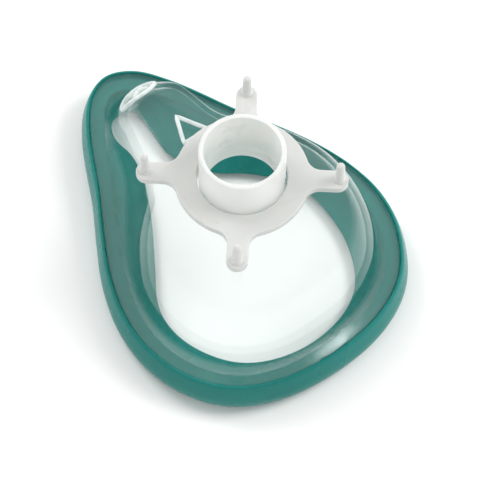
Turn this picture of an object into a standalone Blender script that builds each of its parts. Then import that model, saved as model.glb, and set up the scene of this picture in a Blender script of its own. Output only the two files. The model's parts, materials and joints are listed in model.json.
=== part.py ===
"""Face mask of a bag valve mask: clear shell, 22 mm connector, soft seal and a turning hook ring.

The mask lies face down. +Z is the connector's axis and +Y points to the nose. The origin is at
the middle of the footprint, on the surface that the seal rests on. Lengths are in metres.
"""

import math

import bmesh
import bpy
from mathutils import Vector

MM = 0.001

# Driving sizes
CONNECTOR_Y = -13.0 * MM
SEAT_GAP = 0.3 * MM

FLANGE_TOP = 13.3 * MM
SHELL_WALL = 1.8 * MM
NECK_RADIUS = 15.0 * MM
NECK_FOOT_Z = 45.6 * MM
NECK_TOP_Z = 50.0 * MM

TUBE_RADIUS = 12.8 * MM
TUBE_BASE_Z = 45.2 * MM
TUBE_TOP_Z = 66.4 * MM
MOUTH_RADIUS = 11.3 * MM
SOCKET_END_RADIUS = 11.05 * MM
SOCKET_END_Z = 51.0 * MM
STOP_RADIUS = 10.75 * MM
STOP_END_Z = 48.8 * MM

RING_BOTTOM_Z = NECK_TOP_Z + SEAT_GAP
RING_THICKNESS = 2.4 * MM
RING_INNER_RADIUS = 13.7 * MM
RING_OUTER_RADIUS = 20.0 * MM
HOOK_COUNT = 4
HOOK_ANGLE = math.radians(51.0)
HOOK_REACH = 31.3 * MM
ARM_HALF_WIDTH = 3.2 * MM
ARM_FILLET = 4.5 * MM
PEG_RADIUS = 1.5 * MM
PEG_REACH = 28.7 * MM
PEG_TIP_RADIUS = 1.25 * MM
PEG_HEIGHT = 8.5 * MM

OUTLINE_STEPS = 3
ROUND_STEPS = 48

# Half of the mask's plan, nose to chin, in millimetres from the connector's axis. Each row is one
# section: the flange's edge, the foot of the dome, and the dome's shoulder with its height.
SECTIONS = [
    ((0.0, 73.2), (0.0, 66.8), (0.0, 46.6, 38.6)),
    ((8.2, 69.6), (7.2, 64.2), (3.8, 46.2, 38.7)),
    ((14.6, 61.4), (11.2, 57.6), (7.4, 44.0, 39.3)),
    ((19.4, 52.6), (13.6, 49.4), (8.7, 38.0, 40.4)),
    ((25.2, 40.6), (17.8, 38.6), (10.0, 27.0, 42.0)),
    ((32.2, 28.0), (26.4, 25.6), (15.6, 19.6, 41.6)),
    ((38.8, 15.0), (33.8, 13.0), (22.8, 11.6, 40.6)),
    ((43.2, 1.5), (38.2, 0.8), (26.6, 1.2, 40.0)),
    ((44.2, -12.2), (39.0, -11.2), (27.0, -9.6, 39.5)),
    ((40.6, -26.0), (35.6, -23.6), (24.4, -19.6, 39.0)),
    ((31.6, -38.2), (27.9, -33.9), (18.6, -26.9, 38.5)),
    ((17.4, -45.2), (15.4, -40.4), (10.0, -31.2, 38.0)),
    ((0.0, -47.2), (0.0, -42.2), (0.0, -32.6, 38.0)),
]

# The free edge of the seal's soft lip, one point for each section: down the +X side from nose to
# chin, then up the -X side. The nose slot lies a little towards -X.
LIP = [
    (-1.2, 65.4), (2.4, 64.2), (3.9, 60.4), (3.4, 52.0), (3.6, 42.5), (10.4, 30.2), (20.8, 22.0),
    (30.4, 8.6), (31.2, -8.6), (27.8, -21.0), (21.8, -30.2), (12.2, -35.6), (0.0, -37.4),
    (-12.2, -35.4), (-22.2, -29.9), (-29.0, -20.8), (-32.4, -10.0), (-31.2, 0.6), (-24.6, 11.8),
    (-15.6, 26.6), (-9.2, 40.0), (-6.9, 50.0), (-7.7, 58.0), (-5.4, 63.8),
]

# The wall from the foot to the shoulder, as (way across along the nose, way across round the mouth,
# way up), and from the shoulder to the neck. The wall changes from one to the other between the
# two places of FULL_WALL_Y.
WALL_STEPS = [
    (0.10, 0.04, 0.05), (0.22, 0.11, 0.22), (0.42, 0.26, 0.50), (0.66, 0.50, 0.78), (0.86, 0.76, 0.94),
    (1.0, 1.0, 1.0),
]
FULL_WALL_Y = (20 * MM, 2 * MM)
TOP_STEPS = [(0.30, 0.30), (0.65, 0.63), (0.90, 0.88), (1.0, 1.0)]

# The seal's section, in millimetres: down its outside and under its foot as (distance in from the
# flange's edge, height), round the lip's free edge, back up the slope inside as (share of the way
# from foot to lip, height), and over the pad that the flange rests on.
SEAL_OUTSIDE = [
    (-0.3, 13.6), (-1.0, 13.6), (-1.5, 13.0), (-2.3, 10.4), (-3.1, 7.6), (-3.2, 5.0), (-2.4, 2.4), (-0.8, 0.5),
    (1.0, 0.0), (4.0, 0.0), (7.4, 1.0),
]
SEAL_LIP_Z = (2.6, 3.6)
SEAL_SLOPE = [(0.7, 4.9), (0.4, 6.9), (0.15, 9.2)]
SLOPE_START = 4.0
SEAL_PAD = [(4.6, 10.4), (4.4, 11.2), (-0.3, 11.2)]


def clear_scene():
    for thing in list(bpy.data.objects):
        bpy.data.objects.remove(thing, do_unlink=True)


def new_collection(name):
    collection = bpy.data.collections.new(name)
    bpy.context.scene.collection.children.link(collection)
    return collection


def make_material(name, colour, roughness, alpha=1.0):
    material = bpy.data.materials.new(name)
    material.use_nodes = True
    shader = material.node_tree.nodes["Principled BSDF"]
    shader.inputs["Base Color"].default_value = (*colour, 1.0)
    shader.inputs["Roughness"].default_value = roughness
    shader.inputs["Metallic"].default_value = 0.0
    shader.inputs["Alpha"].default_value = alpha
    return material


def add_object(name, data, collection, material=None):
    thing = bpy.data.objects.new(name, data)
    collection.objects.link(thing)
    if material is not None:
        data.materials.append(material)
    return thing


def smooth_edges(mesh, degrees=35.0):
    mesh.shade_smooth()
    mesh.set_sharp_from_angle(angle=math.radians(degrees))


def mirrored_loop(column):
    """All control points of one column of SECTIONS: down the +X side, back up the -X side."""
    right = [Vector(row[column]) * MM for row in SECTIONS]
    left = []
    for point in reversed(right[1:-1]):
        opposite = point.copy()
        opposite.x = -opposite.x
        left.append(opposite)
    return right + left


def smooth_loop(points):
    """A closed Catmull-Rom curve through the points, OUTLINE_STEPS samples to a span."""
    count = len(points)
    samples = []
    for i in range(count):
        before, start, end, after = (points[(i + k) % count] for k in (-1, 0, 1, 2))
        for step in range(OUTLINE_STEPS):
            t = step / OUTLINE_STEPS
            bend = (2 * before - 5 * start + 4 * end - after) * t**2
            turn = (3 * start - before - 3 * end + after) * t**3
            samples.append((2 * start + (end - before) * t + bend + turn) / 2)
    return samples


def at_height(point, z):
    return Vector((point.x, point.y + CONNECTOR_Y, z))


def loft(name, rings, closed_section):
    """A mesh of quads between rings of equal length; a closed section joins the last to the first."""
    build = bmesh.new()
    rows = [[build.verts.new(point) for point in ring] for ring in rings]
    pairs = list(zip(rows, rows[1:]))
    if closed_section:
        pairs.append((rows[-1], rows[0]))
    for low, high in pairs:
        for i in range(len(low)):
            j = (i + 1) % len(low)
            build.faces.new((low[i], low[j], high[j], high[i]))
    bmesh.ops.recalc_face_normals(build, faces=build.faces)
    mesh = bpy.data.meshes.new(name)
    build.to_mesh(mesh)
    build.free()
    return mesh


def neck_ring(shoulder, radius, z):
    """The neck's circle, with a point in the direction of each shoulder point."""
    ring = []
    for point in shoulder:
        across = Vector((point.x, point.y)).normalized() * radius
        ring.append(at_height(across, z))
    return ring


def wall_ring(feet, shoulders, across_nose, across_mouth, up):
    """One ring of the wall, which stands steeper round the mouth than along the nose."""
    start, end = FULL_WALL_Y
    ring = []
    for foot, shoulder in zip(feet, shoulders):
        fullness = min(1.0, max(0.0, (foot.y - CONNECTOR_Y - start) / (end - start)))
        point = foot.lerp(shoulder, across_nose + (across_mouth - across_nose) * fullness)
        point.z = foot.z + (shoulder.z - foot.z) * up
        ring.append(point)
    return ring


def top_ring(shoulders, necks, across, up):
    """One ring of the roof, between the shoulder and the neck."""
    ring = []
    for low, high in zip(shoulders, necks):
        point = low.lerp(high, across)
        point.z = low.z + (high.z - low.z) * up
        ring.append(point)
    return ring


def shell_rings():
    shoulder = smooth_loop(mirrored_loop(2))
    feet = [at_height(point, FLANGE_TOP) for point in smooth_loop(mirrored_loop(1))]
    shoulders = [at_height(point, point.z) for point in shoulder]
    necks = neck_ring(shoulder, NECK_RADIUS, NECK_FOOT_Z)
    rings = [[at_height(point, FLANGE_TOP) for point in smooth_loop(mirrored_loop(0))], feet]
    rings += [wall_ring(feet, shoulders, *step) for step in WALL_STEPS]
    rings += [top_ring(shoulders, necks, *step) for step in TOP_STEPS]
    rings.append(neck_ring(shoulder, NECK_RADIUS, NECK_TOP_Z))
    return rings


def make_shell(collection):
    mesh = loft("face_shell", shell_rings(), closed_section=False)
    shell = add_object("face_shell", mesh, collection, make_material("clear_shell", (0.86, 0.92, 0.92), 0.08, 0.35))
    wall = shell.modifiers.new("wall", "SOLIDIFY")
    wall.thickness = SHELL_WALL
    wall.offset = -1.0
    wall.use_even_offset = True
    smooth_edges(mesh)
    return shell


def seal_ring(edge, lip, inset, z):
    """One line of the seal's section, swept round: inset is the way in from the flange's edge."""
    ring = []
    for outer, inner in zip(edge, lip):
        inward = (inner - outer).normalized()
        ring.append(at_height(outer + inward * inset * MM, z * MM))
    return ring


def slope_ring(edge, lip, share, z):
    """One line of the slope inside the seal: share runs from the foot, at 0, to the lip, at 1."""
    ring = []
    for outer, inner in zip(edge, lip):
        foot = outer + (inner - outer).normalized() * SLOPE_START * MM
        ring.append(at_height(foot.lerp(inner, share), z * MM))
    return ring


def make_seal(collection):
    edge = smooth_loop(mirrored_loop(0))
    lip = smooth_loop([Vector(point) * MM for point in LIP])
    rings = [seal_ring(edge, lip, inset, z) for inset, z in SEAL_OUTSIDE]
    for z in SEAL_LIP_Z:
        rings.append([at_height(point, z * MM) for point in lip])
    rings += [slope_ring(edge, lip, share, z) for share, z in SEAL_SLOPE]
    rings += [seal_ring(edge, lip, inset, z) for inset, z in SEAL_PAD]
    mesh = loft("face_seal", rings, closed_section=True)
    smooth_edges(mesh)
    return add_object("face_seal", mesh, collection, make_material("soft_seal", (0.02, 0.27, 0.20), 0.35, 0.85))


def connector_profile():
    """The tube's section at +X: down the outside, in under the base and up the bore."""
    chamfer = 0.5 * MM
    return [
        (TUBE_RADIUS - chamfer, TUBE_TOP_Z),
        (TUBE_RADIUS, TUBE_TOP_Z - chamfer),
        (TUBE_RADIUS, TUBE_BASE_Z + chamfer),
        (TUBE_RADIUS - chamfer, TUBE_BASE_Z),
        (MOUTH_RADIUS, TUBE_BASE_Z),
        (STOP_RADIUS, STOP_END_Z - 2 * chamfer),
        (STOP_RADIUS, STOP_END_Z),
        (STOP_RADIUS + chamfer / 3, STOP_END_Z),
        (STOP_RADIUS + chamfer / 3, SOCKET_END_Z),
        (SOCKET_END_RADIUS, SOCKET_END_Z),
        (MOUTH_RADIUS, TUBE_TOP_Z),
    ]


def make_connector(collection):
    """A turned 22 mm socket: the slow taper of the mouth, then a stop ledge above the opening."""
    profile = connector_profile()
    build = bmesh.new()
    points = [build.verts.new((radius, 0.0, z)) for radius, z in profile]
    for start, end in zip(points, points[1:] + points[:1]):
        build.edges.new((start, end))
    mesh = bpy.data.meshes.new("connector_22f")
    build.to_mesh(mesh)
    build.free()
    tube = add_object("connector_22f", mesh, collection, make_material("milky_tube", (0.80, 0.81, 0.78), 0.30))
    tube.location = (0.0, CONNECTOR_Y, 0.0)
    turn = tube.modifiers.new("turn", "SCREW")
    turn.steps = ROUND_STEPS
    turn.render_steps = ROUND_STEPS
    turn.use_merge_vertices = True
    turn.merge_threshold = 0.00005
    return tube


def arc(centre, radius, start, end, steps):
    points = []
    for i in range(steps + 1):
        angle = start + (end - start) * i / steps
        points.append((centre[0] + radius * math.cos(angle), centre[1] + radius * math.sin(angle)))
    return points


def arm_outline():
    """One quarter of the ring's outer edge: a hook arm along +X with a fillet on each side."""
    fillet_x = math.sqrt((RING_OUTER_RADIUS + ARM_FILLET) ** 2 - (ARM_HALF_WIDTH + ARM_FILLET) ** 2)
    fillet_y = ARM_HALF_WIDTH + ARM_FILLET
    touch = math.atan2(fillet_y, fillet_x)
    quarter = math.pi / HOOK_COUNT
    tip = (HOOK_REACH - ARM_HALF_WIDTH, 0.0)
    upper = arc((fillet_x, fillet_y), ARM_FILLET, 1.5 * math.pi, math.pi + touch, 5)
    rim = arc((0.0, 0.0), RING_OUTER_RADIUS, touch, quarter, 4)[1:]
    nose = arc(tip, ARM_HALF_WIDTH, 0.0, math.pi / 2, 6)
    half = nose + upper + rim
    other_half = [(x, -y) for x, y in reversed(half[1:-1])]
    return other_half + half


def ring_outline():
    points = []
    for k in range(HOOK_COUNT):
        turn = HOOK_ANGLE + k * 2 * math.pi / HOOK_COUNT
        for x, y in arm_outline():
            across = x * math.cos(turn) - y * math.sin(turn)
            along = x * math.sin(turn) + y * math.cos(turn)
            points.append((across, along))
    return points


def add_spline(curve, points):
    spline = curve.splines.new("POLY")
    spline.points.add(len(points) - 1)
    for target, (x, y) in zip(spline.points, points):
        target.co = (x, y, 0.0, 1.0)
    spline.use_cyclic_u = True


def curve_to_mesh(thing, name, collection):
    """A closed mesh object in the curve's place."""
    bpy.context.view_layer.update()
    evaluated = thing.evaluated_get(bpy.context.evaluated_depsgraph_get())
    mesh = bpy.data.meshes.new_from_object(evaluated)
    mesh.name = name
    build = bmesh.new()
    build.from_mesh(mesh)
    bmesh.ops.remove_doubles(build, verts=build.verts, dist=0.00001)
    build.to_mesh(mesh)
    build.free()
    solid = bpy.data.objects.new(name, mesh)
    solid.matrix_world = thing.matrix_world
    collection.objects.link(solid)
    bpy.data.objects.remove(thing, do_unlink=True)
    return solid


def ring_plate(collection):
    curve = bpy.data.curves.new("ring_plate", "CURVE")
    curve.dimensions = "2D"
    curve.fill_mode = "BOTH"
    curve.extrude = RING_THICKNESS / 2
    add_spline(curve, ring_outline())
    hole = arc((0.0, 0.0), RING_INNER_RADIUS, 0.0, 2 * math.pi, ROUND_STEPS)[:-1]
    add_spline(curve, hole)
    flat = bpy.data.objects.new("ring_plate", curve)
    flat.location = (0.0, CONNECTOR_Y, RING_BOTTOM_Z + RING_THICKNESS / 2)
    collection.objects.link(flat)
    return curve_to_mesh(flat, "hook_ring", collection)


def add_peg(index, cutters):
    """A hook's upright peg, sunk into its arm so that the union has a clear overlap."""
    sunk = RING_THICKNESS / 2
    angle = HOOK_ANGLE + index * 2 * math.pi / HOOK_COUNT
    build = bmesh.new()
    length = PEG_HEIGHT + sunk
    bmesh.ops.create_cone(
        build, cap_ends=True, segments=16, radius1=PEG_RADIUS, radius2=PEG_TIP_RADIUS, depth=length
    )
    tip = [edge for edge in build.edges if all(vert.co.z > 0.0 for vert in edge.verts)]
    bmesh.ops.bevel(build, geom=tip, offset=PEG_TIP_RADIUS * 0.6, segments=3, affect="EDGES", profile=0.5)
    mesh = bpy.data.meshes.new("peg")
    build.to_mesh(mesh)
    build.free()
    peg = bpy.data.objects.new(f"peg_{index + 1}", mesh)
    base_z = RING_BOTTOM_Z + RING_THICKNESS - sunk
    across = PEG_REACH * math.cos(angle)
    along = PEG_REACH * math.sin(angle) + CONNECTOR_Y
    peg.location = (across, along, base_z + length / 2)
    peg.hide_render = True
    peg.display_type = "WIRE"
    cutters.objects.link(peg)
    return peg


def make_hook_ring(collection, cutters):
    """The plate with its four arms, and a peg joined to the end of each arm."""
    ring = ring_plate(collection)
    ring.data.materials.clear()
    ring.data.materials.append(make_material("milky_ring", (0.82, 0.82, 0.80), 0.35))
    for index in range(HOOK_COUNT):
        join = ring.modifiers.new(f"peg_{index + 1}", "BOOLEAN")
        join.operation = "UNION"
        join.solver = "EXACT"
        join.object = add_peg(index, cutters)
    return ring


def main():
    clear_scene()
    mask = new_collection("face_mask")
    cutters = new_collection("cutters")
    make_shell(mask)
    make_connector(mask)
    make_seal(mask)
    make_hook_ring(mask, cutters)


main()
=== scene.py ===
"""Looks of the resuscitation face mask: clear shell, milky socket and hook ring, soft green seal."""

import json
import math

import bmesh
import bpy
from mathutils import Matrix, Vector
from mathutils.bvhtree import BVHTree


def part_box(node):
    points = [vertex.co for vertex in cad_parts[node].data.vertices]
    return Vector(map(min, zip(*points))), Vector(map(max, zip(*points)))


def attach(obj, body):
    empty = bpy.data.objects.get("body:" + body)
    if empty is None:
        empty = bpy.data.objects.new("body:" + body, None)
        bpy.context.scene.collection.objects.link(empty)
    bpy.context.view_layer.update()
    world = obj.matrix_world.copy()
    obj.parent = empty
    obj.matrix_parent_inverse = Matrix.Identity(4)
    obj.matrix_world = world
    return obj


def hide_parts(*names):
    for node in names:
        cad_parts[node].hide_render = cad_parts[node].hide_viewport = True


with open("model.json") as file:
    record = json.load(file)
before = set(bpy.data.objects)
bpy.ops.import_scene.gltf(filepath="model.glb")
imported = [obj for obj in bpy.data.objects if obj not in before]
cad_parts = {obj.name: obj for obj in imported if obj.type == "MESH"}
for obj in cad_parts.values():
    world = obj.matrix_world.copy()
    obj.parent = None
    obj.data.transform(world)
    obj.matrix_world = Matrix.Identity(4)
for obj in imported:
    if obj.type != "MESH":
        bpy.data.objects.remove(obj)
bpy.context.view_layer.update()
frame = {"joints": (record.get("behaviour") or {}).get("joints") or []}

MM = 0.001
JOINT = frame["joints"][0]
AXIS = Vector((JOINT["pos_m"][0], JOINT["pos_m"][1], 0.0))
SHELL_LOW, SHELL_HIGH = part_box("face_shell")
TUBE_LOW, TUBE_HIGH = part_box("connector_22f")
RING_LOW, RING_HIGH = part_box("hook_ring")

# Camera
VIEW_AZIMUTH = math.radians(-36.8)
VIEW_ELEVATION = math.radians(61.5)
VIEW_DISTANCE = 700 * MM
VIEW_ROLL = math.radians(0.8)
LENS = 167.0
AIM = AXIS + Vector((-0.3 * MM, 0.2 * MM, 13.4 * MM))

# Half of the mask's plan, nose to chin, in millimetres from the connector's axis: the flange's edge,
# the foot of the dome, and the dome's shoulder with its height.
SECTIONS = [
    ((0.0, 73.2), (0.0, 66.8), (0.0, 46.6, 38.6)),
    ((8.2, 69.6), (7.2, 64.2), (3.8, 46.2, 38.7)),
    ((14.6, 61.4), (11.2, 57.6), (7.4, 44.0, 39.3)),
    ((19.4, 52.6), (13.6, 49.4), (8.7, 38.0, 40.4)),
    ((25.2, 40.6), (17.8, 38.6), (10.0, 27.0, 42.0)),
    ((32.2, 28.0), (26.4, 25.6), (15.6, 19.6, 41.6)),
    ((38.8, 15.0), (33.8, 13.0), (22.8, 11.6, 40.6)),
    ((43.2, 1.5), (38.2, 0.8), (26.6, 1.2, 40.0)),
    ((44.2, -12.2), (39.0, -11.2), (27.0, -9.6, 39.5)),
    ((40.6, -26.0), (35.6, -23.6), (24.4, -19.6, 39.0)),
    ((31.6, -38.2), (27.9, -33.9), (18.6, -26.9, 38.5)),
    ((17.4, -45.2), (15.4, -40.4), (10.0, -31.2, 38.0)),
    ((0.0, -47.2), (0.0, -42.2), (0.0, -32.6, 38.0)),
]

# The free edge of the seal's soft lip, one point for each section: down the +X side from nose to
# chin, then up the -X side. The nose slot lies a little towards -X.
LIP = [
    (-1.2, 65.4), (2.4, 64.2), (3.9, 60.4), (3.4, 52.0), (3.6, 42.5), (10.4, 30.2), (20.8, 22.0),
    (30.4, 8.6), (31.2, -8.6), (27.8, -21.0), (21.8, -30.2), (12.2, -35.6), (0.0, -37.4),
    (-12.2, -35.4), (-22.2, -29.9), (-29.0, -20.8), (-32.4, -10.0), (-31.2, 0.6), (-24.6, 11.8),
    (-15.6, 26.6), (-9.2, 40.0), (-6.9, 50.0), (-7.7, 58.0), (-5.4, 63.8),
]
OUTLINE_STEPS = 4

# The shell's section. The flange is flat, from its edge to the dome's foot.
FLANGE_TOP = 13.3 * MM
SHELL_WALL = 1.8 * MM
SHELL_ROUNDING = 0.35 * MM
FLANGE_STEPS = (0.5, 0.88)

# The wall from the foot to the shoulder, as (way across along the nose, way across round the mouth,
# way up), and the roof from the shoulder to the neck, as (way across, way up). The wall changes from
# one to the other between the two places of FULL_WALL_Y.
WALL_STEPS = [
    (0.02, 0.01, 0.0), (0.06, 0.03, 0.03), (0.12, 0.06, 0.12), (0.24, 0.13, 0.28),
    (0.42, 0.26, 0.50), (0.62, 0.46, 0.74), (0.80, 0.68, 0.91), (0.92, 0.85, 0.985),
]
FULL_WALL_Y = (20 * MM, 2 * MM)
TOP_STEPS = [(0.0, 0.0), (0.08, 0.07), (0.35, 0.33), (0.65, 0.63), (0.88, 0.84)]
NECK_RADIUS = 15.0 * MM
NECK_FILLET = 0.6 * MM
NECK_FOOT_Z = 45.6 * MM

# The seal's section, in millimetres: down its outside and under its foot as (distance in from the
# flange's edge, height), round the soft lip and up the slope inside as (share of the way from foot
# to lip, height), and over the pad that the flange rests on.
SEAL_OUTSIDE = [
    (-0.4, 13.7), (-1.1, 13.6), (-1.6, 12.8), (-2.3, 10.4), (-3.1, 7.6), (-3.2, 5.0),
    (-2.4, 2.4), (-0.8, 0.5), (1.0, 0.0), (4.0, 0.0),
]
SEAL_LIP = [
    (0.5, 0.6), (0.9, 1.8), (1.0, 2.5), (1.02, 3.0), (1.0, 3.5), (0.9, 3.8),
    (0.7, 4.8), (0.4, 6.8), (0.15, 9.2),
]
SEAL_PAD = [(4.6, 10.4), (4.4, 11.2), (-0.3, 11.2), (-0.35, 12.4)]
LIP_START = 4.0

# The narrow end of the socket's bore, in millimetres from the axis and above the floor, up to the
# stop ledge. The cone runs from there to the mouth.
BORE = [
    (10.75, 47.8), (10.75, 48.75), (10.8, 48.8), (10.9, 48.82), (10.9, 50.95), (10.95, 51.0),
    (11.06, 51.02),
]
TUBE_SIDES = 128

# Hook ring
RING_THICKNESS = 2.4 * MM
RING_INNER_RADIUS = 13.4 * MM
RING_OUTER_RADIUS = 20.0 * MM
RING_ROUNDING = 0.4 * MM
HOOK_COUNT = 4
HOOK_ANGLE = math.radians(51.0)
HOOK_REACH = 31.3 * MM
ARM_HALF_WIDTH = 3.2 * MM
ARM_FILLET = 4.5 * MM
PEG_REACH = 28.7 * MM
PEG_RADIUS = 1.5 * MM
PEG_TIP_RADIUS = 1.25 * MM
PEG_SIDES = 24

# Moulded marks on the shell, in millimetres from the connector's axis
MARK_RADIUS = 0.65 * MM
ARROW = [(0.0, 34.0), (4.4, 23.5), (-4.4, 23.5)]
ARROW_STEPS = 10
BADGE_CENTRE = (-2.3, 51.4)
BADGE_HALF = (6.0, 3.0)
BADGE_STEPS = 48
BAR_HALF = (2.6, 1.6)
BAR_STEPS = 10

# Looks: how much a clear surface mirrors head on, and how sharply that grows towards a grazing angle
HEAD_ON_MIRROR = 0.055
MIRROR_POWER = 5.0
CLEAR_TINT = (0.985, 0.995, 0.992)
FROSTED_TINT = (0.95, 0.98, 0.97)
MILKY_TINT = (0.9, 0.92, 0.9)
# Painted rim highlight: the lighter colour the milky parts turn to where their surface curves away from
# view
MILKY_PAINTED_RIM_LIGHT = (0.96, 0.97, 0.96)
SEAL_GREENS = ((0.010, 0.180, 0.158), (0.018, 0.215, 0.192))
# The socket's milky colour is painted lighter than the ring's, to make up for the shade on its walls,
# which face away from the lamps
SOCKET_TONE_WITH_PAINTED_LIGHT = (0.93, 0.93, 0.91)
SOCKET_SOLID = 0.62
RING_SHADE = (0.68, 0.68, 0.665)
RING_SOLID = 0.77

# Studio
FLOOR_SIZE = 6.0
FLOOR_DROP = 0.1 * MM
WORLD_STRENGTH = 0.78
LAMP_DISTANCE = 1.0
SOFT_LAMP_SIZE = 0.40
SMALL_LAMP_SIZE = 0.016


# ---------------------------------------------------------------------------------------------
# Mesh helpers


def mirrored_loop(column):
    """All control points of one column of SECTIONS: down the +X side, back up the -X side."""
    right = [Vector(row[column]) * MM for row in SECTIONS]
    left = []
    for point in reversed(right[1:-1]):
        opposite = point.copy()
        opposite.x = -opposite.x
        left.append(opposite)
    return right + left


def smooth_loop(points, steps=OUTLINE_STEPS):
    """A closed Catmull-Rom curve through the points."""
    count = len(points)
    samples = []
    for i in range(count):
        before, start, end, after = (points[(i + k) % count] for k in (-1, 0, 1, 2))
        for step in range(steps):
            t = step / steps
            bend = (2 * before - 5 * start + 4 * end - after) * t**2
            turn = (3 * start - before - 3 * end + after) * t**3
            samples.append((2 * start + (end - before) * t + bend + turn) / 2)
    return samples


def at_height(point, z):
    return Vector((AXIS.x + point.x, AXIS.y + point.y, z))


def loft(name, rings, closed_section):
    """A mesh of quads between rings of equal length; a closed section joins the last to the first."""
    build = bmesh.new()
    rows = [[build.verts.new(point) for point in ring] for ring in rings]
    pairs = list(zip(rows, rows[1:]))
    if closed_section:
        pairs.append((rows[-1], rows[0]))
    for low, high in pairs:
        for i in range(len(low)):
            j = (i + 1) % len(low)
            build.faces.new((low[i], low[j], high[j], high[i]))
    bmesh.ops.recalc_face_normals(build, faces=build.faces)
    mesh = bpy.data.meshes.new(name)
    build.to_mesh(mesh)
    build.free()
    mesh.shade_smooth()
    return mesh


def place(name, data, material, body):
    """A new piece that takes its finish from a material slot and rides on a body."""
    piece = bpy.data.objects.new(name, data)
    bpy.context.scene.collection.objects.link(piece)
    data.materials.clear()
    data.materials.append(material)
    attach(piece, body)
    return piece


def subdivide(piece, levels=2):
    smooth = piece.modifiers.new("smooth", "SUBSURF")
    smooth.levels = levels
    smooth.render_levels = levels


def round_edges(piece, width, segments=3, degrees=40.0):
    rounding = piece.modifiers.new("rounding", "BEVEL")
    rounding.width = width
    rounding.segments = segments
    rounding.limit_method = "ANGLE"
    rounding.angle_limit = math.radians(degrees)
    rounding.use_clamp_overlap = True


def arc(centre, radius, start, end, steps):
    points = []
    for i in range(steps + 1):
        angle = start + (end - start) * i / steps
        points.append((centre[0] + radius * math.cos(angle), centre[1] + radius * math.sin(angle)))
    return points


# ---------------------------------------------------------------------------------------------
# Materials


class Nodes:
    """A material's node tree, with short calls to add and link nodes."""

    def __init__(self, name):
        self.material = bpy.data.materials.new(name)
        self.material.use_nodes = True
        self.tree = self.material.node_tree
        self.shader = self.tree.nodes["Principled BSDF"]
        self.output = self.tree.nodes["Material Output"]
        self.place = self.add("ShaderNodeTexCoord").outputs["Object"]

    def add(self, kind, **settings):
        node = self.tree.nodes.new(kind)
        for key, value in settings.items():
            setattr(node, key, value)
        return node

    def link(self, source, target):
        self.tree.links.new(source, target)

    def set(self, **values):
        for key, value in values.items():
            self.shader.inputs[key.replace("_", " ")].default_value = value

    def noise(self, scale, detail=3.0, roughness=0.5):
        noise = self.add("ShaderNodeTexNoise")
        noise.inputs["Scale"].default_value = scale
        noise.inputs["Detail"].default_value = detail
        noise.inputs["Roughness"].default_value = roughness
        self.link(self.place, noise.inputs["Vector"])
        return noise.outputs["Fac"]

    def spread(self, value, low, high):
        """value, from 0.3 to 0.7, mapped to low to high."""
        mapped = self.add("ShaderNodeMapRange")
        mapped.inputs["From Min"].default_value = 0.3
        mapped.inputs["From Max"].default_value = 0.7
        mapped.inputs["To Min"].default_value = low
        mapped.inputs["To Max"].default_value = high
        self.link(value, mapped.inputs["Value"])
        return mapped.outputs["Result"]

    def colours(self, value, first, second):
        ramp = self.add("ShaderNodeValToRGB")
        ramp.color_ramp.elements[0].position = 0.35
        ramp.color_ramp.elements[0].color = (*first, 1.0)
        ramp.color_ramp.elements[1].position = 0.65
        ramp.color_ramp.elements[1].color = (*second, 1.0)
        self.link(value, ramp.inputs["Fac"])
        return ramp.outputs["Color"]

    def bump(self, height, strength, distance):
        bump = self.add("ShaderNodeBump")
        bump.inputs["Strength"].default_value = strength
        bump.inputs["Distance"].default_value = distance
        self.link(height, bump.inputs["Height"])
        self.link(bump.outputs["Normal"], self.shader.inputs["Normal"])

    def maths(self, operation, first, second):
        node = self.add("ShaderNodeMath", operation=operation)
        for target, value in zip(node.inputs, (first, second)):
            if isinstance(value, float):
                target.default_value = value
            else:
                self.link(value, target)
        return node.outputs["Value"]

    def see_through(self, share, tint):
        """Shows what is behind the surface with this tint, apart from share, the shader's own part."""
        clear = self.add("ShaderNodeBsdfTransparent")
        clear.inputs["Color"].default_value = (*tint, 1.0)
        mix = self.add("ShaderNodeMixShader")
        self.link(share, mix.inputs["Fac"])
        self.link(clear.outputs["BSDF"], mix.inputs[1])
        self.link(self.shader.outputs["BSDF"], mix.inputs[2])
        self.link(mix.outputs["Shader"], self.output.inputs["Surface"])

    def painted_rim_light(self, colour, edge):
        """The colour, turning to the edge's colour, a painted rim highlight, where the surface curves
        away from view.
        """
        facing = self.add("ShaderNodeLayerWeight")
        facing.inputs["Blend"].default_value = 0.35
        mix = self.add("ShaderNodeMixRGB")
        self.link(self.maths("POWER", facing.outputs["Facing"], 2.0), mix.inputs["Fac"])
        self.link(colour, mix.inputs["Color1"])
        mix.inputs["Color2"].default_value = (*edge, 1.0)
        return mix.outputs["Color"]

    def mirror_share(self, straight):
        """How much a clear surface mirrors: straight when met head on, and all at a grazing angle."""
        facing = self.add("ShaderNodeLayerWeight")
        facing.inputs["Blend"].default_value = 0.5
        steep = self.maths("POWER", facing.outputs["Facing"], MIRROR_POWER)
        return self.maths("ADD", self.maths("MULTIPLY", steep, 1.0 - straight), straight)


def clear_plastic(name):
    """Clear moulded plastic: a mirror that is strong only at grazing angles, over what is behind it."""
    nodes = Nodes(name)
    nodes.set(Metallic=1.0)
    nodes.link(nodes.colours(nodes.noise(25.0), (0.90, 0.95, 0.94), (0.97, 1.0, 0.99)),
               nodes.shader.inputs["Base Color"])
    nodes.link(nodes.spread(nodes.noise(60.0), 0.05, 0.10), nodes.shader.inputs["Roughness"])
    nodes.bump(nodes.noise(45.0, detail=1.0), 0.06, 0.4 * MM)
    nodes.see_through(nodes.mirror_share(HEAD_ON_MIRROR), CLEAR_TINT)
    return nodes.material


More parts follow.
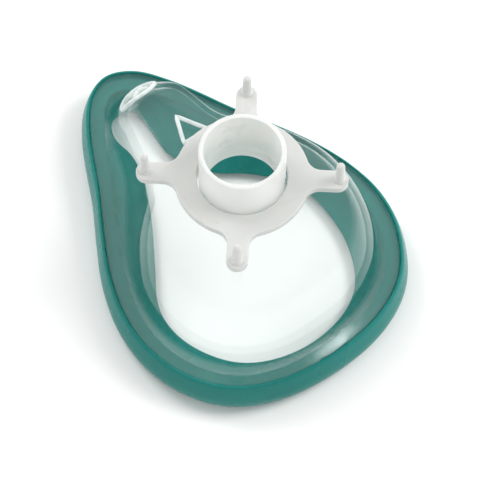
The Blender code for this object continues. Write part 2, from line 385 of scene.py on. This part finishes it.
def frosted_plastic(name):
    """The raised marks: clear plastic with a fine matt texture, so it looks whiter."""
    nodes = Nodes(name)
    nodes.link(nodes.colours(nodes.noise(400.0), (0.80, 0.86, 0.85), (0.92, 0.96, 0.95)),
               nodes.shader.inputs["Base Color"])
    nodes.link(nodes.spread(nodes.noise(900.0), 0.30, 0.45), nodes.shader.inputs["Roughness"])
    nodes.see_through(nodes.spread(nodes.noise(500.0), 0.60, 0.75), FROSTED_TINT)
    return nodes.material


def soft_green():
    """Translucent soft rubber, lightly clouded."""
    nodes = Nodes("soft_seal_green")
    nodes.set(Subsurface_Weight=0.5, Subsurface_Scale=1.2 * MM)
    nodes.set(IOR=1.35, Specular_IOR_Level=0.3)
    nodes.shader.inputs["Subsurface Radius"].default_value = (0.2, 1.0, 0.8)
    nodes.link(nodes.colours(nodes.noise(18.0), *SEAL_GREENS), nodes.shader.inputs["Base Color"])
    nodes.link(nodes.spread(nodes.noise(90.0), 0.24, 0.32), nodes.shader.inputs["Roughness"])
    nodes.bump(nodes.noise(30.0, detail=0.0), 0.05, 0.5 * MM)
    return nodes.material


def milky_plastic(name, tone_and_painted_light, solid):
    """Cloudy white plastic with a painted rim highlight: solid is its own share, over what shows
    through it.
    """
    nodes = Nodes(name)
    nodes.set(Subsurface_Weight=0.4, Subsurface_Scale=2.0 * MM, IOR=1.5)
    nodes.shader.inputs["Subsurface Radius"].default_value = (1.0, 0.95, 0.85)
    light = tuple(min(1.0, part * 1.05) for part in tone_and_painted_light)
    # The colour lightens towards the outline: a painted rim highlight
    nodes.link(nodes.painted_rim_light(nodes.colours(nodes.noise(40.0), tone_and_painted_light, light), MILKY_PAINTED_RIM_LIGHT),
               nodes.shader.inputs["Base Color"])
    nodes.link(nodes.spread(nodes.noise(120.0), 0.26, 0.34), nodes.shader.inputs["Roughness"])
    nodes.bump(nodes.noise(40.0, detail=0.0), 0.02, 0.4 * MM)
    nodes.see_through(nodes.spread(nodes.noise(30.0), solid - 0.03, solid + 0.03), MILKY_TINT)
    return nodes.material


def floor_white():
    nodes = Nodes("floor_white")
    nodes.link(nodes.colours(nodes.noise(3.0), (0.93, 0.93, 0.925), (0.95, 0.95, 0.945)),
               nodes.shader.inputs["Base Color"])
    nodes.link(nodes.spread(nodes.noise(8.0), 0.55, 0.65), nodes.shader.inputs["Roughness"])
    return nodes.material


# ---------------------------------------------------------------------------------------------
# The clear shell


def neck_ring(shoulder, radius, z):
    """The neck's circle, with a point in the direction of each shoulder point."""
    ring = []
    for point in shoulder:
        across = Vector((point.x, point.y)).normalized() * radius
        ring.append(at_height(across, z))
    return ring


def between(start, end, across, up):
    """One ring of the shell between two others: across is the way in plan, up is the way in height."""
    ring = []
    for low, high in zip(start, end):
        point = low.lerp(high, across)
        point.z = low.z + (high.z - low.z) * up
        ring.append(point)
    return ring


def wall_ring(feet, shoulders, across_nose, across_mouth, up):
    """One ring of the wall, which stands steeper round the mouth than along the nose."""
    start, end = FULL_WALL_Y
    ring = []
    for foot, shoulder in zip(feet, shoulders):
        fullness = min(1.0, max(0.0, (foot.y - AXIS.y - start) / (end - start)))
        point = foot.lerp(shoulder, across_nose + (across_mouth - across_nose) * fullness)
        point.z = foot.z + (shoulder.z - foot.z) * up
        ring.append(point)
    return ring


def shell_rings():
    outline = smooth_loop(mirrored_loop(0))
    edge = [at_height(point, FLANGE_TOP) for point in outline]
    feet = [at_height(point, FLANGE_TOP) for point in smooth_loop(mirrored_loop(1))]
    shoulder = smooth_loop(mirrored_loop(2))
    shoulders = [at_height(point, point.z) for point in shoulder]
    neck_foot = neck_ring(shoulder, NECK_RADIUS, NECK_FOOT_Z)
    rings = [edge] + [between(edge, feet, step, step) for step in FLANGE_STEPS]
    rings += [wall_ring(feet, shoulders, *step) for step in WALL_STEPS]
    rings += [between(shoulders, neck_foot, *step) for step in TOP_STEPS]
    rings.append(neck_ring(shoulder, NECK_RADIUS + NECK_FILLET, NECK_FOOT_Z + 0.1 * MM))
    rings.append(neck_ring(shoulder, NECK_RADIUS, NECK_FOOT_Z + 0.8 * MM))
    rings.append(neck_ring(shoulder, NECK_RADIUS, SHELL_HIGH.z))
    return rings


def make_shell(material):
    mesh = loft("shell", shell_rings(), closed_section=False)
    shell = place("shell", mesh, material, "mask")
    subdivide(shell)
    wall = shell.modifiers.new("wall", "SOLIDIFY")
    wall.thickness = SHELL_WALL
    wall.offset = -1.0
    wall.use_even_offset = True
    round_edges(shell, SHELL_ROUNDING)
    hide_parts("face_shell")
    return shell


def outer_surface(shell):
    """A search tree of the shell as it is shown."""
    view = bpy.context.evaluated_depsgraph_get()
    return BVHTree.FromObject(shell, view)


def on_shell(tree, x, y):
    """The point of the shell's outer surface above a place in the plan, given in millimetres."""
    above = at_height(Vector((x, y)) * MM, SHELL_HIGH.z + 20 * MM)
    return tree.ray_cast(above, Vector((0.0, 0.0, -1.0)))[0]


def raised_line(name, tree, plan, material, closed=True):
    """A rounded moulded line on the shell's surface."""
    curve = bpy.data.curves.new(name, "CURVE")
    curve.dimensions = "3D"
    curve.bevel_depth = MARK_RADIUS
    curve.bevel_resolution = 3
    curve.use_fill_caps = not closed
    spline = curve.splines.new("POLY")
    points = [on_shell(tree, x, y) for x, y in plan]
    spline.points.add(len(points) - 1)
    for target, point in zip(spline.points, points):
        target.co = (*point, 1.0)
    spline.use_cyclic_u = closed
    place(name, curve, material, "mask")


def along(start, end, steps):
    """Evenly spaced places from start up to, and without, end."""
    return [tuple(a + (b - a) * i / steps for a, b in zip(start, end)) for i in range(steps)]


def make_marks(tree, material):
    """A plain arrow to the nose end and a blank oval badge with two crossed bars."""
    arrow = []
    for start, end in zip(ARROW, ARROW[1:] + ARROW[:1]):
        arrow += along(start, end, ARROW_STEPS)
    raised_line("nose_arrow", tree, arrow, material)
    badge = []
    for i in range(BADGE_STEPS):
        turn = 2 * math.pi * i / BADGE_STEPS
        badge.append((BADGE_CENTRE[0] + BADGE_HALF[0] * math.cos(turn),
                      BADGE_CENTRE[1] + BADGE_HALF[1] * math.sin(turn)))
    raised_line("badge_rim", tree, badge, material)
    for k, lean in enumerate((-1, 1)):
        low = (BADGE_CENTRE[0] - lean * BAR_HALF[0], BADGE_CENTRE[1] - BAR_HALF[1])
        high = (BADGE_CENTRE[0] + lean * BAR_HALF[0], BADGE_CENTRE[1] + BAR_HALF[1])
        bar = along(low, high, BAR_STEPS)
        raised_line(f"badge_bar_{k + 1}", tree, bar, material, closed=False)


# ---------------------------------------------------------------------------------------------
# The soft seal


def seal_line(edge, lip, inset, z):
    """One line of the seal's section, swept round at this distance in from the flange's edge."""
    ring = []
    for outer, inner in zip(edge, lip):
        inward = (inner - outer).normalized()
        ring.append(at_height(outer + inward * inset * MM, z * MM))
    return ring


def lip_line(edge, lip, share, z):
    """One line round the lip: share runs from the seal's foot, at 0, to the lip's free edge, at 1."""
    ring = []
    for outer, inner in zip(edge, lip):
        foot = outer + (inner - outer).normalized() * LIP_START * MM
        ring.append(at_height(foot.lerp(inner, share), z * MM))
    return ring


def make_seal(material):
    edge = smooth_loop(mirrored_loop(0))
    lip = smooth_loop([Vector(point) * MM for point in LIP])
    rings = [seal_line(edge, lip, *point) for point in SEAL_OUTSIDE]
    rings += [lip_line(edge, lip, *point) for point in SEAL_LIP]
    rings += [seal_line(edge, lip, *point) for point in SEAL_PAD]
    seal = place("seal", loft("seal", rings, closed_section=True), material, "mask")
    subdivide(seal)
    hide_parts("face_seal")


# ---------------------------------------------------------------------------------------------
# The breathing socket


def socket_profile():
    """The tube's section at +X, in millimetres: down the outside, in under the base and up the bore."""
    top, base = TUBE_HIGH.z / MM, TUBE_LOW.z / MM
    outside = (TUBE_HIGH.x - TUBE_LOW.x) / 2 / MM
    rim = [(outside - 0.5, top), (outside - 0.15, top - 0.15), (outside, top - 0.5)]
    foot = [(outside, base + 0.5), (outside - 0.15, base + 0.15), (outside - 0.5, base)]
    lead_in = [(11.4, base), (11.2, base + 0.1)]
    mouth = [(11.3, top - 0.4), (11.4, top - 0.1), (11.7, top)]
    return rim + foot + lead_in + BORE + mouth


def make_socket(material):
    build = bmesh.new()
    points = [build.verts.new((radius * MM, 0.0, z * MM)) for radius, z in socket_profile()]
    for start, end in zip(points, points[1:] + points[:1]):
        build.edges.new((start, end))
    geometry = build.verts[:] + build.edges[:]
    bmesh.ops.spin(build, geom=geometry, axis=(0, 0, 1), cent=(0, 0, 0), dvec=(0, 0, 0),
                   angle=2 * math.pi, steps=TUBE_SIDES, use_merge=True)
    bmesh.ops.remove_doubles(build, verts=build.verts, dist=0.001 * MM)
    bmesh.ops.recalc_face_normals(build, faces=build.faces)
    bmesh.ops.translate(build, verts=build.verts, vec=AXIS)
    mesh = bpy.data.meshes.new("socket")
    build.to_mesh(mesh)
    build.free()
    mesh.shade_smooth()
    mesh.set_sharp_from_angle(angle=math.radians(50))
    socket = place("socket", mesh, material, "mask")
    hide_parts("connector_22f")


# ---------------------------------------------------------------------------------------------
# The hook ring


def arm_outline():
    """One quarter of the ring's outer edge: a hook arm along +X with a fillet on each side."""
    fillet_x = math.sqrt((RING_OUTER_RADIUS + ARM_FILLET) ** 2 - (ARM_HALF_WIDTH + ARM_FILLET) ** 2)
    fillet_y = ARM_HALF_WIDTH + ARM_FILLET
    touch = math.atan2(fillet_y, fillet_x)
    tip = (HOOK_REACH - ARM_HALF_WIDTH, 0.0)
    nose = arc(tip, ARM_HALF_WIDTH, 0.0, math.pi / 2, 12)
    upper = arc((fillet_x, fillet_y), ARM_FILLET, 1.5 * math.pi, math.pi + touch, 10)
    rim = arc((0.0, 0.0), RING_OUTER_RADIUS, touch, math.pi / HOOK_COUNT, 12)[1:]
    half = nose + upper + rim
    other_half = [(x, -y) for x, y in reversed(half[1:-1])]
    return other_half + half


def ring_outline():
    points = []
    for k in range(HOOK_COUNT):
        turn = HOOK_ANGLE + k * 2 * math.pi / HOOK_COUNT
        for x, y in arm_outline():
            across = x * math.cos(turn) - y * math.sin(turn)
            up = x * math.sin(turn) + y * math.cos(turn)
            points.append((across, up))
    return points


def add_spline(curve, points):
    spline = curve.splines.new("POLY")
    spline.points.add(len(points) - 1)
    for target, (x, y) in zip(spline.points, points):
        target.co = (x, y, 0.0, 1.0)
    spline.use_cyclic_u = True


def finished_mesh(thing):
    """A copy of the object's mesh with its modifiers or its curve's fill applied."""
    view = bpy.context.evaluated_depsgraph_get()
    return bpy.data.meshes.new_from_object(thing.evaluated_get(view))


def plate_mesh():
    """The flat ring with its arms, its edges rounded, as a mesh about the origin."""
    curve = bpy.data.curves.new("ring_plate", "CURVE")
    curve.dimensions = "2D"
    curve.fill_mode = "BOTH"
    curve.extrude = RING_THICKNESS / 2 - RING_ROUNDING
    curve.bevel_depth = RING_ROUNDING
    curve.bevel_resolution = 3
    curve.offset = -RING_ROUNDING
    add_spline(curve, ring_outline())
    add_spline(curve, arc((0.0, 0.0), RING_INNER_RADIUS, 0.0, 2 * math.pi, 128)[:-1])
    flat = bpy.data.objects.new("ring_plate", curve)
    bpy.context.scene.collection.objects.link(flat)
    bpy.context.view_layer.update()
    mesh = finished_mesh(flat)
    bpy.data.objects.remove(flat, do_unlink=True)
    build = bmesh.new()
    build.from_mesh(mesh)
    bmesh.ops.remove_doubles(build, verts=build.verts, dist=0.005 * MM)
    build.to_mesh(mesh)
    build.free()
    return mesh


def peg_profile(height):
    """The peg's half section from its flared foot to its round tip, in metres."""
    points = [(0.0, -RING_THICKNESS / 3), (PEG_RADIUS, -RING_THICKNESS / 3)]
    points += [(PEG_RADIUS + 0.5 * MM, -0.1 * MM), (PEG_RADIUS + 0.15 * MM, 0.35 * MM)]
    points.append((PEG_RADIUS, 0.9 * MM))
    dome = arc((0.0, height - PEG_TIP_RADIUS), PEG_TIP_RADIUS, 0.0, math.pi / 2, 8)
    return points + dome


def add_peg(build, angle, base_z, height):
    """One upright peg, turned from its profile, added to the ring's mesh."""
    profile = peg_profile(height)
    centre = Vector((PEG_REACH * math.cos(angle), PEG_REACH * math.sin(angle), base_z))
    rings = []
    for radius, z in profile[1:-1]:
        ring = []
        for i in range(PEG_SIDES):
            turn = 2 * math.pi * i / PEG_SIDES
            offset = Vector((radius * math.cos(turn), radius * math.sin(turn), z))
            ring.append(build.verts.new(centre + offset))
        rings.append(ring)
    for low, high in zip(rings, rings[1:]):
        for i in range(PEG_SIDES):
            j = (i + 1) % PEG_SIDES
            build.faces.new((low[i], low[j], high[j], high[i]))
    tip = build.verts.new(centre + Vector((0.0, 0.0, profile[-1][1])))
    for i in range(PEG_SIDES):
        build.faces.new((rings[-1][i], rings[-1][(i + 1) % PEG_SIDES], tip))
    build.faces.new(list(reversed(rings[0])))


def peg_object(index, height):
    build = bmesh.new()
    angle = HOOK_ANGLE + index * 2 * math.pi / HOOK_COUNT
    add_peg(build, angle, RING_THICKNESS / 2, height)
    bmesh.ops.recalc_face_normals(build, faces=build.faces)
    mesh = bpy.data.meshes.new("peg")
    build.to_mesh(mesh)
    build.free()
    peg = bpy.data.objects.new("peg", mesh)
    bpy.context.scene.collection.objects.link(peg)
    return peg


def make_ring(material):
    """The plate and its pegs, joined into one body."""
    plate = bpy.data.objects.new("plate", plate_mesh())
    bpy.context.scene.collection.objects.link(plate)
    height = RING_HIGH.z - RING_LOW.z - RING_THICKNESS
    pegs = [peg_object(index, height) for index in range(HOOK_COUNT)]
    for peg in pegs:
        join = plate.modifiers.new("join", "BOOLEAN")
        join.operation = "UNION"
        join.solver = "EXACT"
        join.object = peg
    bpy.context.view_layer.update()
    mesh = finished_mesh(plate)
    for helper in [plate] + pegs:
        bpy.data.objects.remove(helper, do_unlink=True)
    middle = AXIS + Vector((0.0, 0.0, RING_LOW.z + RING_THICKNESS / 2))
    mesh.transform(Matrix.Translation(middle))
    mesh.shade_smooth()
    mesh.set_sharp_from_angle(angle=math.radians(35))
    ring = place("hook_ring_piece", mesh, material, "ring")
    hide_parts("hook_ring")


# ---------------------------------------------------------------------------------------------
# Floor, lights and camera


def make_floor():
    build = bmesh.new()
    bmesh.ops.create_grid(build, x_segments=1, y_segments=1, size=FLOOR_SIZE / 2)
    mesh = bpy.data.meshes.new("floor")
    build.to_mesh(mesh)
    build.free()
    mesh.materials.append(floor_white())
    floor = bpy.data.objects.new("floor", mesh)
    floor.location = (0.0, 0.0, -FLOOR_DROP)
    bpy.context.scene.collection.objects.link(floor)


def around(azimuth, elevation, distance):
    """The offset at this compass angle, angle of height and distance: azimuth 0 is towards -Y."""
    flat = math.cos(elevation) * distance
    return Vector((math.sin(azimuth) * flat, -math.cos(azimuth) * flat, math.sin(elevation) * distance))


def add_light(name, azimuth, elevation, size, power, mirrored):
    """A square lamp aimed at the mask; mirrored says whether glossy surfaces show it."""
    lamp = bpy.data.lights.new(name, "AREA")
    lamp.shape = "SQUARE"
    lamp.size = size
    lamp.energy = power
    light = bpy.data.objects.new(name, lamp)
    light.location = AXIS + around(math.radians(azimuth), math.radians(elevation), LAMP_DISTANCE)
    light.rotation_mode = "QUATERNION"
    light.rotation_quaternion = (AXIS - light.location).to_track_quat("-Z", "Y")
    light.visible_glossy = mirrored
    bpy.context.scene.collection.objects.link(light)


def light_scene():
    world = bpy.data.worlds.new("studio")
    world.use_nodes = True
    background = world.node_tree.nodes["Background"]
    background.inputs["Color"].default_value = (1.0, 1.0, 1.0, 1.0)
    background.inputs["Strength"].default_value = WORLD_STRENGTH
    bpy.context.scene.world = world
    add_light("back", 193, 48, SOFT_LAMP_SIZE, 3.0, mirrored=False)
    add_light("side", 62, 50, SOFT_LAMP_SIZE, 4.4, mirrored=False)
    add_light("window", 133.8, 65.2, SMALL_LAMP_SIZE, 0.02, mirrored=True)


def make_camera():
    camera_data = bpy.data.cameras.new("camera")
    camera_data.lens = LENS
    camera_data.sensor_width = 36.0
    camera_data.clip_start = 0.01
    camera_data.clip_end = 20.0
    camera = bpy.data.objects.new("camera", camera_data)
    camera.location = AXIS + around(VIEW_AZIMUTH, VIEW_ELEVATION, VIEW_DISTANCE)
    look = (AIM - camera.location).to_track_quat("-Z", "Y").to_matrix()
    camera.rotation_euler = (look @ Matrix.Rotation(VIEW_ROLL, 3, "Z")).to_euler()
    bpy.context.scene.collection.objects.link(camera)
    bpy.context.scene.camera = camera


def main():
    bpy.context.scene.view_settings.view_transform = "Standard"
    make_camera()
    light_scene()
    make_floor()
    shell = make_shell(clear_plastic("shell_clear"))
    bpy.context.view_layer.update()
    make_marks(outer_surface(shell), frosted_plastic("mark_frosted"))
    make_seal(soft_green())
    # The socket gets a lighter milky colour than the ring: painted light against the shade on its walls
    make_socket(milky_plastic("socket_milky", SOCKET_TONE_WITH_PAINTED_LIGHT, SOCKET_SOLID))
    make_ring(milky_plastic("ring_milky", RING_SHADE, RING_SOLID))


main()
